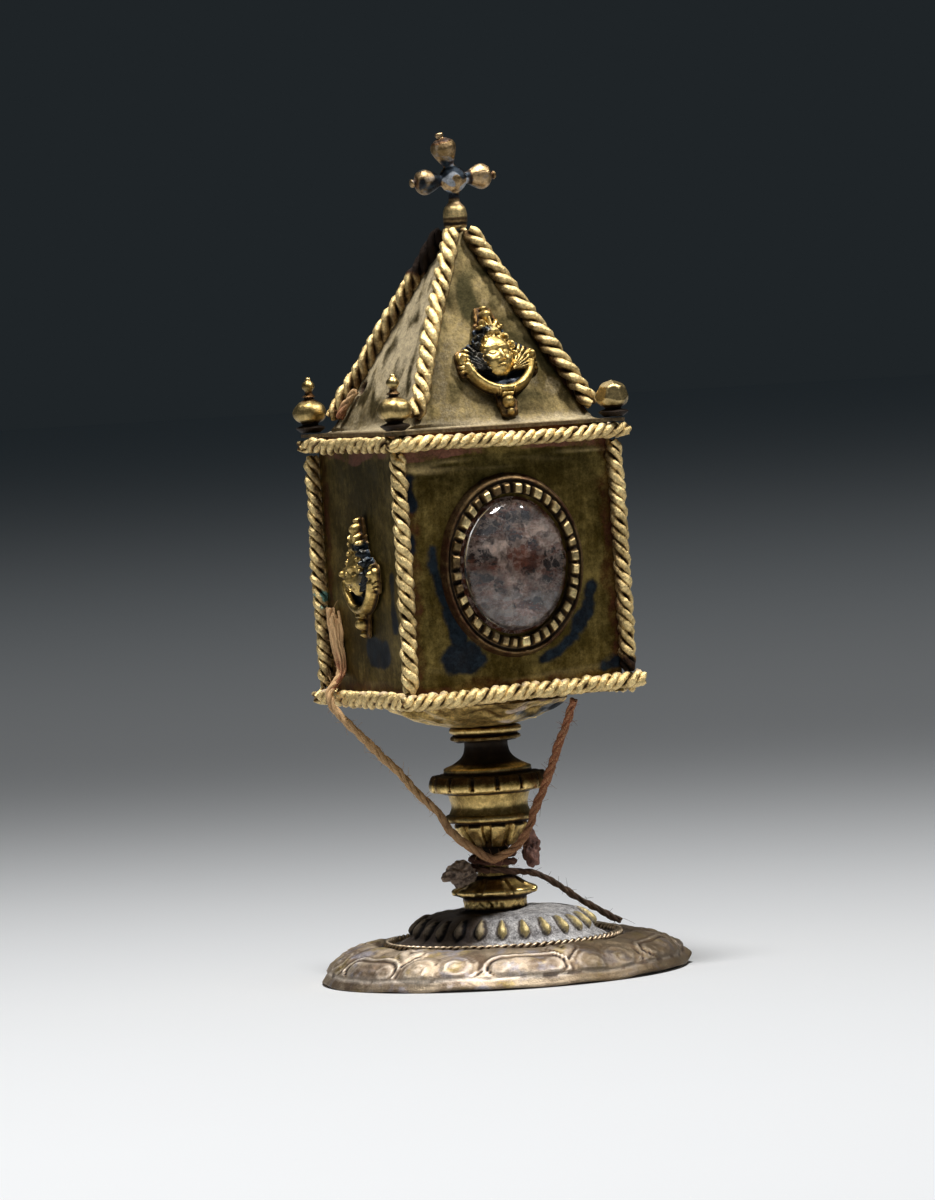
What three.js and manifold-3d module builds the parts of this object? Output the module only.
import * as THREE from 'three';
import { mergeVertices } from 'three/addons/utils/BufferGeometryUtils.js';
import Module from 'manifold-3d';

// A tower-shaped reliquary casket of gilt copper on a baluster stem and a round foot.
// Millimetres, +Z up. The origin is the middle of the foot's underside, and the window faces -Y.

// Foot: profiles are [radius, height] pairs
const FOOT_SEGMENTS = 48;
const FOOT_OUTSIDE = [
  [0, 11.4], [6.6, 11.4], [11.2, 10.9], [13.4, 10.0], [15.2, 8.3], [16, 7], [19.3, 5.5],
  [21.3, 5.5], [22.7, 6.3], [25.4, 5.8], [28.7, 4], [30.5, 1.4], [31.95, 0.8], [31.95, 0],
];
const FOOT_INSIDE = [[30.4, 0], [28, 3.1], [24, 4.8], [20.3, 4.4], [14.6, 6.9], [12.6, 9.2], [0, 10.4]];
const TEARDROP_COUNT = 24;
const TEARDROP_RADII = [12, 15.8];
const TEARDROP_RISE = 0.35;
const CARTOUCHE_COUNT = 12;
const CARTOUCHE_RADII = [24, 29.5];
const CARTOUCHE_RISE = 0.45;
const FOOT_RING_RADIUS = 20.3;
const FOOT_RING_HEIGHT = 6.25;
const FOOT_RING_WIRE = 0.62;
const FOOT_RING_TURNS = 10;
const FOOT_RING_STEPS = 60;

// Stem: it stands a little off the foot's middle
const STEM_OFFSET = [-0.93, 0.375];
const COLLAR_SEGMENTS = 16;
const COLLAR_PROFILE = [
  [0, 11.4], [5.5, 11.4], [5.5, 13.6], [7.3, 14.2], [7.3, 14.8], [5.7, 15.5], [3.6, 17.2], [0, 17.2],
];
const COLLAR_LEAF_HEIGHTS = [15.2, 16];
const COLLAR_LEAF_RISE = 0.35;
const KNOP_SEGMENTS = 28;
const KNOP_PROFILE = [
  [0, 17.2], [2.8, 17.2], [2.6, 19.5], [2.8, 21.7], [5.6, 25.2], [6.2, 26.6], [7.8, 26.9], [7.8, 27.9],
  [7.1, 28.2], [7.2, 31.7], [10, 32.3], [10.5, 33.4], [9.8, 34.7], [7.6, 35.1], [7.6, 36.1], [4.6, 37.7],
  [3.8, 39.2], [3.8, 40.7], [0, 40.7],
];
const VASE_LEAVES = 9;
const VASE_LEAF_HEIGHTS = [23, 26];
const VASE_LEAF_RISE = 0.4;
const GADROON_COUNT = 14;
const GADROON_HEIGHTS = [32, 35];
const GADROON_RISE = 0.5;
const CAPITAL_SEGMENTS = 14;
const CAPITAL_PROFILE = [
  [0, 40.7], [5.4, 40.7], [6.2, 41.1], [5.6, 41.8], [6.2, 42.3], [6.2, 43], [5.6, 43.4], [0, 43.4],
];

// Box, roof and all above stand a little further off the foot's middle
const TOWER_OFFSET = [-1.85, 0.75];
const DISH_SEGMENTS = 16;
const DISH_PROFILE = [
  [0, 43.4], [5.8, 43.4], [9.5, 44.3], [13.2, 45.9], [15.6, 47.5], [15.3, 48.4], [0, 48.4],
];
const DISH_LUMP_HEIGHTS = [44, 48];
const DISH_LUMPS = 8;
const DISH_LUMP_RISE = 0.35;
const FLOOR_HALF = 19.4;
const FLOOR_BOTTOM = 48.4;
const FLOOR_TOP = 49.8;
const WALL_HALF = 19.3;
const WALL_SHEET = 0.9;
const WALL_TOP = 94.9;

// Twisted cables
const CABLE_RADIUS = 1.5;
const CABLE_SIDES = 3;
const CABLE_BEADS = 13;
const STEPS_PER_BEAD = 2;
const CABLE_GAP = 0.15;
const CORNER_CABLE_AXIS = 20.5;
const EDGE_CABLE_AXIS = FLOOR_HALF + CABLE_RADIUS + 0.05;
const BOTTOM_CABLE_HEIGHT = 49.4;
const TOP_CABLE_HEIGHT = 93.3;
const LONG_EDGE_HALF = 22.2;
const SHORT_EDGE_HALF = 19.25;
const FRONT_CABLE_OVERHANG = 0.5;
const FRONT_CABLE_LIFT = 1;

// Roof: half-widths of the square pyramid against height
const ROOF_APEX = 131.06;
const ROOF_SLOPE = 0.4795;
const ROOF_SHEET_ACROSS = 0.89;
const ROOF_FOOT = 96.6;
const ROOF_TOP = 129.4;
const ROOF_CAP = 1.1;
const BRIM_HALF = 21.6;
const BRIM_SHEET = 0.6;
const BRIM_INNER_HALF = 18.3;
const BRIM_MOUTH_HALF = 17.2;
const STRING_HOLE_RADIUS = 1.1;
const STRING_HOLE_SIDES = 8;
const STRING_HOLE = [10.8, 103];
const HIP_BASE_HALF = 18.7;
const HIP_BASE_HEIGHT = 95;
const HIP_APEX = 134;
const HIP_ENDS = [98, 129.3];
// The pyramid is turned a little on its brim, and its tip is off to one side
const SPIRE_TURN = THREE.MathUtils.degToRad(3.8);
const SPIRE_SHIFT = [1.1, -0.45];

// Finials and cross
const FINIAL_CORNER = 20.2;
const FINIAL_SIDES = 8;
const FINIAL_BALL = [
  [0, 95.75], [1.6, 95.75], [2.6, 96.5], [1.4, 97.1], [2.9, 99], [2.5, 100.5],
];
const FINIAL_TIP = [[0.9, 101.7], [1.2, 103.6], [0.45, 105.4], [0, 105.5]];
const FINIAL_STUMP = [[1.9, 101.3], [0, 101.3]];
const CROSS_BASE = 129.75;
const CROSS_SIDES = 8;
const CROSS_STALK = [
  [0, 0], [0.7, 0], [0.7, 0.95], [1.5, 1.05], [1.75, 2.5], [1.5, 4.1], [1, 4.5], [1, 7.5], [0, 7.6],
];
const CROSS_BOSS_HEIGHT = 8.5;
const CROSS_BOSS_RADIUS = 2.4;
const CROSS_ARM = [
  [0, 0.4], [1.2, 0.4], [0.9, 2.5], [1.9, 3.9], [2.2, 5.1], [1.6, 6.6], [0.6, 7.2], [0.6, 7.9], [0, 8.1],
];
const CROSS_ARM_TILT = THREE.MathUtils.degToRad(3);
const CROSS_TOP_BEND = THREE.MathUtils.degToRad(15);
const CROSS_TOP_STRETCH = 1.05;

// Window: the bezel is worked out round and stretched to an oval
const WINDOW_CENTRE = [0, 71.5];
const OVAL_STRETCH = 1.2;
const BEZEL_PROFILE = [[10.3, 0], [13.2, 0], [12.4, 2.3], [10.6, 2.6], [10.3, 0]];
const BEZEL_TEETH = 36;
const BEZEL_TOOTH_RISE = 0.45;
const CRYSTAL_PROFILE = [[0, 0], [9.9, 0], [9.9, 1.6], [8.4, 3.3], [5.2, 4.4], [0, 4.9]];
const CRYSTAL_SEGMENTS = 24;
const SETTING_GAP = 0.05;

// Cherub mounts: outline radius against angle, and the relief as a set of domes
const CHERUB_SPOKES = 24;
const CHERUB_RINGS = [0, 0.3, 0.55, 0.78, 0.92, 1];
const CHERUB_BODY_RADIUS = 6.6;
const CHERUB_LOBES = [
  { angle: 90, reach: 3.9, spread: 17 },
  { angle: -90, reach: 4, spread: 14 },
  { angle: 12, reach: 2.1, spread: 26 },
  { angle: 168, reach: 2.1, spread: 26 },
];
const CHERUB_EDGE = 0.7;
const CHERUB_DOMES = [
  { x: 0, y: 1, wide: 4.4, tall: 5, rise: 3.6 },
  { x: 0, y: 6.6, wide: 2.6, tall: 2.2, rise: 2.4 },
  { x: 0, y: 9.3, wide: 1.6, tall: 1.5, rise: 1.9 },
  { x: 6.2, y: 0.6, wide: 2.6, tall: 3.2, rise: 2.3 },
  { x: -6.2, y: 0.6, wide: 2.6, tall: 3.2, rise: 2.3 },
  { x: 0, y: -5.6, wide: 5, tall: 1.8, rise: 2 },
  { x: 0, y: -8.7, wide: 1.7, tall: 2, rise: 2 },
];
const CHERUB_GAP = 0.3;
const CHERUB_ROOF = { x: 1, z: 106.1 };
const CHERUB_WALL_HEIGHT = 70.5;

// String and wax: routes are hand-laid points
const STRING_RADIUS = 0.75;
const STRING_SIDES = 8;
const SLING_STEPS = 24;
const SLING_ROUTE = [
  [-22.2, 16.2, 65], [-22.2, 14.7, 59], [-22.3, 13.2, 54.4], [-23.7, 12, 52.2], [-25.3, 11, 50.6],
  [-25.5, 10.4, 49], [-24.6, 9.9, 47.2], [-18.2, 5.4, 38.8], [-12.6, 1.4, 31.2], [-10.33, -0.1, 28.2],
  [-9.6, -1.04, 26.2], [-7.4, -2.83, 23.4], [-4.6, -4, 21.2], [-2.55, -4.69, 20.5], [0.76, -6.13, 22.1],
  [2.98, -7.57, 25.6], [3.82, -7.91, 28.2], [5.93, -9.09, 33.2], [7.53, -12.33, 40], [9.03, -16.6, 47.5],
];
const TAIL_STEPS = 9;
const TAIL_ROUTE = [
  [4.27, -1.19, 18.6], [6.27, -1.57, 16.9], [12.28, -4.32, 12.5], [17.69, -6.94, 8.8], [19.1, -7.73, 7.9],
];
const STITCH_STEPS = 3;
const STITCH_ROUTE = [[-14.74, 10.9, 102.75], [-16.2, 12.2, 100.5], [-16.99, 13.4, 98.05]];
const WRAPS_SEGMENTS = 12;
const WRAPS_PROFILE = [
  [2.95, 17.5], [4, 17.5], [4.4, 18.4], [4.1, 19.4], [4.4, 20.4], [4, 21.4], [2.95, 21.4], [2.95, 17.5],
];
const WAX_LEFT = { centre: [-7.62, -1.23, 18], size: [2.2, 2.1, 2.3] };
const WAX_RIGHT = { centre: [5.38, -2.56, 21.5], size: [1.8, 1.8, 2.2] };
const WAX_LUMP = 0.18;

const FINISHES = {
  giltSheet: { color: 0x8f7d45, roughness: 0.5, metalness: 0.9 },
  giltCable: { color: 0xcdb56a, roughness: 0.35, metalness: 1 },
  castGilt: { color: 0xb08d3c, roughness: 0.4, metalness: 1 },
  footBronze: { color: 0x85725a, roughness: 0.45, metalness: 0.9 },
  crystal: { color: 0xc9c2bd, roughness: 0.05, metalness: 0 },
  string: { color: 0x9a7057, roughness: 0.95, metalness: 0 },
  wax: { color: 0x6d5a4c, roughness: 0.6, metalness: 0 },
};

const wasm = await Module();
wasm.setup();

const UP = new THREE.Vector3(0, 0, 1);
const CYLINDER_AXIS = new THREE.Vector3(0, 1, 0);
const QUARTER_TURN = Math.PI / 2;
const SQUARE_CORNER = Math.SQRT2;

const materials = Object.fromEntries(
  Object.entries(FINISHES).map(([name, finish]) => [name, new THREE.MeshStandardMaterial(finish)]),
);

const casket = new THREE.Group();
const stem = new THREE.Group();
stem.position.set(STEM_OFFSET[0], STEM_OFFSET[1], 0);
const tower = new THREE.Group();
tower.position.set(TOWER_OFFSET[0], TOWER_OFFSET[1], 0);
casket.add(stem, tower);

function addPiece(parent, name, geometry, finish) {
  const mesh = new THREE.Mesh(geometry, materials[finish]);
  mesh.name = name;
  parent.add(mesh);
  return mesh;
}

// Moves every vertex by a function of its place and its number.
function moveVertices(geometry, move) {
  const position = geometry.attributes.position;
  const point = new THREE.Vector3();
  for (let i = 0; i < position.count; i += 1) {
    point.fromBufferAttribute(position, i);
    move(point, i);
    position.setXYZ(i, point.x, point.y, point.z);
  }
  return geometry;
}

// A profile of [radius, height] pairs turned about +Z, with the solid on its left as it runs.
function turned(profile, segments, start = 0) {
  const points = profile.map(([radius, height]) => new THREE.Vector2(radius, height));
  return new THREE.LatheGeometry(points, segments, start).rotateX(QUARTER_TURN);
}

// Pushes a turned shape's wall out in waves between two heights.
function waved(geometry, heights, count, rise) {
  return moveVertices(geometry, (point) => {
    const radius = Math.hypot(point.x, point.y);
    if (radius > 0 && point.z > heights[0] && point.z < heights[1]) {
      const push = 1 + (rise * Math.cos(count * Math.atan2(point.y, point.x))) / radius;
      point.x *= push;
      point.y *= push;
    }
  });
}

function manifoldOf(geometry) {
  const bare = geometry.clone();
  bare.deleteAttribute('normal');
  bare.deleteAttribute('uv');
  const welded = mergeVertices(bare, 1e-4);
  const corners = welded.index.array;
  const kept = [];
  for (let i = 0; i < corners.length; i += 3) {
    const [a, b, c] = corners.slice(i, i + 3);
    if (a !== b && b !== c && c !== a) {
      kept.push(a, b, c);
    }
  }
  return new wasm.Manifold(new wasm.Mesh({
    numProp: 3,
    vertProperties: new Float32Array(welded.attributes.position.array),
    triVerts: new Uint32Array(kept),
  }));
}

function geometryOf(manifold) {
  const mesh = manifold.getMesh();
  const geometry = new THREE.BufferGeometry();
  geometry.setAttribute('position', new THREE.BufferAttribute(new Float32Array(mesh.vertProperties), 3));
  geometry.setIndex(new THREE.BufferAttribute(new Uint32Array(mesh.triVerts), 1));
  geometry.computeVertexNormals();
  return geometry;
}

// Foot

function footRelief(radius, angle) {
  if (radius > TEARDROP_RADII[0] && radius < TEARDROP_RADII[1]) {
    return TEARDROP_RISE * Math.cos(TEARDROP_COUNT * angle);
  }
  if (radius > CARTOUCHE_RADII[0] && radius < CARTOUCHE_RADII[1]) {
    return CARTOUCHE_RISE * Math.max(0, Math.SQRT2 * Math.sin(CARTOUCHE_COUNT * angle + Math.PI / 4));
  }
  return 0;
}

function footGeometry() {
  const profile = [...FOOT_OUTSIDE, ...FOOT_INSIDE].reverse();
  const geometry = turned(profile, FOOT_SEGMENTS);
  return moveVertices(geometry, (point, index) => {
    const outside = index % profile.length >= FOOT_INSIDE.length;
    const radius = Math.hypot(point.x, point.y);
    const rise = outside ? footRelief(radius, Math.atan2(point.y, point.x)) * Math.SQRT1_2 : 0;
    if (rise !== 0) {
      point.x += (rise * point.x) / radius;
      point.y += (rise * point.y) / radius;
      point.z += rise;
    }
  });
}

// A torus whose three-sided wire turns left-handed as it goes round. Its sides are counted backwards,
// so that each face's diagonal follows the twist, and the faces are turned round to match.
function footRingGeometry() {
  const geometry = new THREE.TorusGeometry(FOOT_RING_RADIUS, FOOT_RING_WIRE, CABLE_SIDES, FOOT_RING_STEPS);
  moveVertices(geometry, (point, index) => {
    const step = (index % (FOOT_RING_STEPS + 1)) % FOOT_RING_STEPS;
    const side = Math.floor(index / (FOOT_RING_STEPS + 1)) % CABLE_SIDES;
    const around = (2 * Math.PI * step) / FOOT_RING_STEPS;
    const turn = FOOT_RING_TURNS * around - (2 * Math.PI * side) / CABLE_SIDES;
    const radius = FOOT_RING_RADIUS + FOOT_RING_WIRE * Math.cos(turn);
    point.set(radius * Math.cos(around), radius * Math.sin(around), FOOT_RING_WIRE * Math.sin(turn));
  });
  geometry.index.array.reverse();
  return geometry.translate(0, 0, FOOT_RING_HEIGHT);
}

addPiece(casket, 'foot', footGeometry(), 'footBronze');
addPiece(casket, 'foot_cable_ring', footRingGeometry(), 'footBronze');

// Stem

const collar = turned(COLLAR_PROFILE, COLLAR_SEGMENTS);
waved(collar, COLLAR_LEAF_HEIGHTS, COLLAR_SEGMENTS / 2, COLLAR_LEAF_RISE);
addPiece(stem, 'stem_collar', collar, 'castGilt');

const knop = turned(KNOP_PROFILE, KNOP_SEGMENTS);
waved(knop, VASE_LEAF_HEIGHTS, VASE_LEAVES, VASE_LEAF_RISE);
waved(knop, GADROON_HEIGHTS, GADROON_COUNT, GADROON_RISE);
addPiece(stem, 'stem_knop', knop, 'castGilt');
addPiece(stem, 'stem_capital', turned(CAPITAL_PROFILE, CAPITAL_SEGMENTS), 'castGilt');

// Box

const dish = turned(DISH_PROFILE, DISH_SEGMENTS);
waved(dish, DISH_LUMP_HEIGHTS, DISH_LUMPS, DISH_LUMP_RISE);
addPiece(tower, 'calyx_dish', dish, 'castGilt');

function plate(lowest, highest) {
  const low = new THREE.Vector3(...lowest);
  const high = new THREE.Vector3(...highest);
  const size = high.clone().sub(low);
  const middle = low.add(high).multiplyScalar(0.5);
  return new THREE.BoxGeometry(size.x, size.y, size.z).translate(middle.x, middle.y, middle.z);
}

const WALL_INSIDE = WALL_HALF - WALL_SHEET;
const PLATES = {
  casket_floor: [[-FLOOR_HALF, -FLOOR_HALF, FLOOR_BOTTOM], [FLOOR_HALF, FLOOR_HALF, FLOOR_TOP]],
  casket_wall_front: [[-WALL_HALF, -WALL_HALF, FLOOR_TOP], [WALL_HALF, -WALL_INSIDE, WALL_TOP]],
  casket_wall_back: [[-WALL_HALF, WALL_INSIDE, FLOOR_TOP], [WALL_HALF, WALL_HALF, WALL_TOP]],
  casket_wall_left: [[-WALL_HALF, -WALL_INSIDE, FLOOR_TOP], [-WALL_INSIDE, WALL_INSIDE, WALL_TOP]],
  casket_wall_right: [[WALL_INSIDE, -WALL_INSIDE, FLOOR_TOP], [WALL_HALF, WALL_INSIDE, WALL_TOP]],
};
for (const [name, [lowest, highest]] of Object.entries(PLATES)) {
  addPiece(tower, name, plate(lowest, highest), 'giltSheet');
}

// Cables

// A three-sided bar twisted left-handed, one bead for each third of a turn.
function cableGeometry(start, end) {
  const from = new THREE.Vector3(...start);
  const along = new THREE.Vector3(...end).sub(from);
  const length = along.length();
  const steps = CABLE_BEADS * STEPS_PER_BEAD;
  const geometry = new THREE.CylinderGeometry(CABLE_RADIUS, CABLE_RADIUS, length, CABLE_SIDES, steps);
  const turnPerLength = (-2 * Math.PI * CABLE_BEADS) / (CABLE_SIDES * length);
  moveVertices(geometry, (point) => point.applyAxisAngle(CYLINDER_AXIS, turnPerLength * point.y));
  const middle = from.addScaledVector(along, 0.5);
  const turn = new THREE.Quaternion().setFromUnitVectors(CYLINDER_AXIS, along.normalize());
  return geometry.applyQuaternion(turn).translate(middle.x, middle.y, middle.z);
}

// Where a point of a square, upright pyramid lies on the turned and shifted one.
function onSpire(x, y, z) {
  const rise = (z - ROOF_FOOT) / (ROOF_APEX - ROOF_FOOT);
  const spun = new THREE.Vector2(x, y).rotateAround(new THREE.Vector2(), SPIRE_TURN);
  return [spun.x + SPIRE_SHIFT[0] * rise, spun.y + SPIRE_SHIFT[1] * rise, z];
}

const hipHalf = (height) => (HIP_BASE_HALF * (HIP_APEX - height)) / (HIP_APEX - HIP_BASE_HEIGHT);
const CORNERS = { front_left: [-1, -1], front_right: [1, -1], back_left: [-1, 1], back_right: [1, 1] };
const CORNER_CABLE_ENDS = [
  BOTTOM_CABLE_HEIGHT + CABLE_RADIUS + CABLE_GAP,
  TOP_CABLE_HEIGHT - CABLE_RADIUS - CABLE_GAP,
];
for (const [corner, [x, y]] of Object.entries(CORNERS)) {
  const lift = corner === 'front_right' ? FRONT_CABLE_LIFT : 0;
  const [low, high] = CORNER_CABLE_ENDS;
  const post = [low + lift, high].map((z) => [x * CORNER_CABLE_AXIS, y * CORNER_CABLE_AXIS, z]);
  addPiece(tower, `corner_cable_${corner}`, cableGeometry(...post), 'giltCable');
  const hip = HIP_ENDS.map((z) => onSpire(x * hipHalf(z), y * hipHalf(z), z));
  addPiece(tower, `hip_cable_${corner}`, cableGeometry(...hip), 'giltCable');
}

const EDGE_LEVELS = { bottom: BOTTOM_CABLE_HEIGHT, top: TOP_CABLE_HEIGHT };
for (const [level, z] of Object.entries(EDGE_LEVELS)) {
  const side = EDGE_CABLE_AXIS;
  const lift = level === 'bottom' ? FRONT_CABLE_LIFT : 0;
  const edges = {
    front: [[-LONG_EDGE_HALF, -side, z], [LONG_EDGE_HALF + FRONT_CABLE_OVERHANG, -side, z + lift]],
    back: [[-LONG_EDGE_HALF, side, z], [LONG_EDGE_HALF, side, z]],
    left: [[-side, SHORT_EDGE_HALF, z], [-side, -SHORT_EDGE_HALF, z]],
    right: [[side, -SHORT_EDGE_HALF, z], [side, SHORT_EDGE_HALF, z]],
  };
  for (const [edge, ends] of Object.entries(edges)) {
    addPiece(tower, `${level}_cable_${edge}`, cableGeometry(...ends), 'giltCable');
  }
}

// Roof

const roofHalf = (height) => (ROOF_APEX - height) * ROOF_SLOPE;

// The pyramid is a four-sided turning, with the string's hole cut through its left slope.
function roofGeometry() {
  const capBottom = ROOF_TOP - ROOF_CAP;
  const halves = [
    [0, capBottom],
    [roofHalf(capBottom) - ROOF_SHEET_ACROSS, capBottom],
    [roofHalf(ROOF_FOOT) - ROOF_SHEET_ACROSS, ROOF_FOOT],
    [BRIM_MOUTH_HALF, WALL_TOP],
    [BRIM_HALF, WALL_TOP],
    [BRIM_HALF, WALL_TOP + BRIM_SHEET],
    [BRIM_INNER_HALF, WALL_TOP + BRIM_SHEET],
    [roofHalf(ROOF_FOOT), ROOF_FOOT],
    [roofHalf(ROOF_TOP), ROOF_TOP],
    [0, ROOF_TOP],
  ];
  const corners = halves.map(([half, height]) => [half * SQUARE_CORNER, height]);
  const shell = moveVertices(turned(corners, 4, Math.PI / 4), (point) => {
    if (point.z > ROOF_FOOT - BRIM_SHEET) {
      point.set(...onSpire(point.x, point.y, point.z));
    }
  });
  const [holeAlong, holeHeight] = STRING_HOLE;
  const drill = new THREE.CylinderGeometry(
    STRING_HOLE_RADIUS, STRING_HOLE_RADIUS, WALL_HALF / 2, STRING_HOLE_SIDES,
  );
  drill.rotateZ(QUARTER_TURN).translate(...onSpire(-roofHalf(holeHeight), holeAlong, holeHeight));
  return geometryOf(manifoldOf(shell).subtract(manifoldOf(drill)));
}

addPiece(tower, 'roof', roofGeometry(), 'giltSheet');

// Finials and cross

for (const [corner, [x, y]] of Object.entries(CORNERS)) {
  const broken = corner === 'front_right';
  const profile = [...FINIAL_BALL, ...(broken ? FINIAL_STUMP : FINIAL_TIP)];
  const finial = addPiece(tower, `finial_${corner}`, turned(profile, FINIAL_SIDES), 'castGilt');
  finial.position.set(x * FINIAL_CORNER, y * FINIAL_CORNER, 0);
}

// One casting: a stalk and boss with two side arms and a bent top arm.
function crossGeometry() {
  const arm = (lean, stretch) => turned(CROSS_ARM, CROSS_SIDES)
    .scale(1, 1, stretch).rotateY(lean).translate(0, 0, CROSS_BOSS_HEIGHT);
  const boss = new THREE.SphereGeometry(CROSS_BOSS_RADIUS, CROSS_SIDES, 6).translate(0, 0, CROSS_BOSS_HEIGHT);
  const joined = [
    boss,
    arm(QUARTER_TURN - CROSS_ARM_TILT, 1),
    arm(-QUARTER_TURN - CROSS_ARM_TILT, 1),
    arm(-CROSS_TOP_BEND, CROSS_TOP_STRETCH),
  ].reduce((sum, shape) => sum.add(manifoldOf(shape)), manifoldOf(turned(CROSS_STALK, CROSS_SIDES)));
  return geometryOf(joined);
}

const cross = addPiece(tower, 'cross', crossGeometry(), 'castGilt');
cross.position.set(...onSpire(0, 0, CROSS_BASE));

// Window

const setting = new THREE.Group();
setting.position.set(WINDOW_CENTRE[0], -WALL_HALF - SETTING_GAP, WINDOW_CENTRE[1]);
setting.rotation.x = QUARTER_TURN;
tower.add(setting);

// Every other spoke of the bezel's upper edge stands up as a tooth.
function bezelGeometry() {
  const spokes = BEZEL_TEETH * 2;
  const geometry = turned(BEZEL_PROFILE, spokes);
  moveVertices(geometry, (point) => {
    const tooth = Math.cos(BEZEL_TEETH * Math.atan2(point.y, point.x));
    point.z += point.z > BEZEL_TOOTH_RISE ? BEZEL_TOOTH_RISE * tooth : 0;
  });
  return geometry.scale(1, OVAL_STRETCH, 1);
}

addPiece(setting, 'bezel', bezelGeometry(), 'castGilt');
addPiece(setting, 'crystal', turned(CRYSTAL_PROFILE, CRYSTAL_SEGMENTS).scale(1, OVAL_STRETCH, 1), 'crystal');

// Cherub mounts

function cherubReach(angle) {
  const degrees = THREE.MathUtils.radToDeg(angle);
  return CHERUB_LOBES.reduce((reach, lobe) => {
    const apart = THREE.MathUtils.euclideanModulo(degrees - lobe.angle + 180, 360) - 180;
    return reach + lobe.reach * Math.exp(-((apart / lobe.spread) ** 2));
  }, CHERUB_BODY_RADIUS);
}

function cherubHeight(x, y) {
  return CHERUB_DOMES.reduce((height, dome) => {
    const away = ((x - dome.x) / dome.wide) ** 2 + ((y - dome.y) / dome.tall) ** 2;
    return Math.max(height, dome.rise * Math.sqrt(Math.max(0, 1 - away)));
  }, CHERUB_EDGE);
}

// A flat-backed disc whose spokes reach the outline and whose face rises over the domes.
function cherubGeometry() {
  const profile = [[0, 0], [1, 0], ...CHERUB_RINGS.toReversed().map((ring) => [ring, 1])];
  const geometry = turned(profile, CHERUB_SPOKES);
  return moveVertices(geometry, (point) => {
    const reach = cherubReach(Math.atan2(point.y, point.x));
    point.x *= reach;
    point.y *= reach;
    point.z = point.z > 0.5 ? cherubHeight(point.x, point.y) : 0;
  });
}

function addCherub(name, place, turnAboutUp, tilt) {
  const mount = addPiece(tower, name, cherubGeometry(), 'castGilt');
  mount.rotation.order = 'ZXY';
  mount.rotation.set(tilt, 0, turnAboutUp);
  const outward = UP.clone().applyEuler(mount.rotation);
  mount.position.set(...place).addScaledVector(outward, CHERUB_GAP);
}

const roofTilt = QUARTER_TURN - Math.atan(ROOF_SLOPE);
const roofPlace = onSpire(CHERUB_ROOF.x, -roofHalf(CHERUB_ROOF.z), CHERUB_ROOF.z);
addCherub('cherub_roof', roofPlace, SPIRE_TURN, roofTilt);
addCherub('cherub_left', [-WALL_HALF, 0, CHERUB_WALL_HEIGHT], -QUARTER_TURN, QUARTER_TURN);
addCherub('cherub_right', [WALL_HALF, 0, CHERUB_WALL_HEIGHT], QUARTER_TURN, QUARTER_TURN);

// String and wax

function stringGeometry(route, steps) {
  const section = new THREE.Shape(
    Array.from({ length: STRING_SIDES }, (_, i) => {
      const angle = (2 * Math.PI * i) / STRING_SIDES;
      return new THREE.Vector2(STRING_RADIUS * Math.cos(angle), STRING_RADIUS * Math.sin(angle));
    }),
  );
  const extrudePath = new THREE.CatmullRomCurve3(route.map((point) => new THREE.Vector3(...point)));
  return new THREE.ExtrudeGeometry(section, { steps, bevelEnabled: false, extrudePath });
}

function lumpGeometry(centre, size) {
  const geometry = new THREE.IcosahedronGeometry(1, 1).scale(...size);
  moveVertices(geometry, (point) => {
    point.multiplyScalar(1 - WAX_LUMP * Math.sin(2 * point.x + point.y) ** 2);
  });
  return geometry.translate(...centre);
}

addPiece(casket, 'string_sling', stringGeometry(SLING_ROUTE, SLING_STEPS), 'string');
addPiece(casket, 'string_tail', stringGeometry(TAIL_ROUTE, TAIL_STEPS), 'string');
addPiece(stem, 'string_wraps', turned(WRAPS_PROFILE, WRAPS_SEGMENTS), 'string');
const stitchRoute = STITCH_ROUTE.map((point) => onSpire(...point));
addPiece(tower, 'string_roof_stitch', stringGeometry(stitchRoute, STITCH_STEPS), 'string');
addPiece(casket, 'wax_left', lumpGeometry(WAX_LEFT.centre, WAX_LEFT.size), 'wax');
addPiece(casket, 'wax_right', lumpGeometry(WAX_RIGHT.centre, WAX_RIGHT.size), 'wax');

export default casket;
